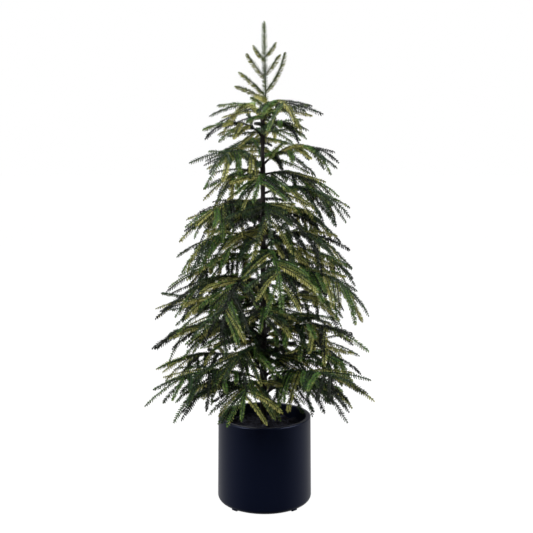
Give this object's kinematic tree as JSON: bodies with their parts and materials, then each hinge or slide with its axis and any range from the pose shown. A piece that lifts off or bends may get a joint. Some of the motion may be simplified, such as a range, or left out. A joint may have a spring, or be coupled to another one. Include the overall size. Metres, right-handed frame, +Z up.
{
  "type": "artificial norfolk island pine in a pot",
  "caption": "Potted artificial Norfolk Island pine: straight wrapped pole, whorls of arching boughs with needled sprays, in a plain dark cylindrical pot.",
  "frame": {"origin": "centre of the pot's flat underside", "axes": "+Z up along the trunk, -Y towards the front of the tree, +X to the right seen from the front"},
  "size_m": [0.5329, 0.5383, 1.2],
  "materials": {
    "pot": "satin moulded, near-black navy",
    "filling": "rough, lumpy, dyed near black",
    "trunk": "steel pole wrapped in dark brown tape",
    "bough": "wire wrapped in dark brown tape",
    "needles": "soft moulded needles, deep green to olive"
  },
  "bodies": {
    "root": {"bough_1_1": "bough", "bough_1_2": "bough", "bough_1_3": "bough", "bough_1_4": "bough", "bough_2_1": "bough", "bough_2_2": "bough", "bough_2_3": "bough", "bough_2_4": "bough", "foliage_10_1": "needles", "foliage_10_2": "needles", "foliage_10_3": "needles", "foliage_11_1": "needles", "foliage_11_2": "needles", "foliage_11_3": "needles", "foliage_12_1": "needles", "foliage_12_2": "needles", "foliage_12_3": "needles", "foliage_13_1": "needles", "foliage_13_2": "needles", "foliage_13_3": "needles", "foliage_14_1": "needles", "foliage_14_2": "needles", "foliage_1_1": "needles", "foliage_1_2": "needles", "foliage_1_3": "needles", "foliage_1_4": "needles", "foliage_2_1": "needles", "foliage_2_2": "needles", "foliage_2_3": "needles", "foliage_2_4": "needles", "foliage_3_1": "needles", "foliage_3_2": "needles", "foliage_3_3": "needles", "foliage_3_4": "needles", "foliage_4_1": "needles", "foliage_4_2": "needles", "foliage_4_3": "needles", "foliage_4_4": "needles", "foliage_5_1": "needles", "foliage_5_2": "needles", "foliage_5_3": "needles", "foliage_5_4": "needles", "foliage_6_1": "needles", "foliage_6_2": "needles", "foliage_6_3": "needles", "foliage_6_4": "needles", "foliage_7_1": "needles", "foliage_7_2": "needles", "foliage_7_3": "needles", "foliage_8_1": "needles", "foliage_8_2": "needles", "foliage_8_3": "needles", "foliage_9_1": "needles", "foliage_9_2": "needles", "foliage_9_3": "needles", "foliage_leader": "needles", "pot": "pot", "pot_filling": "filling", "trunk": "trunk"}
  },
  "joints": []
}
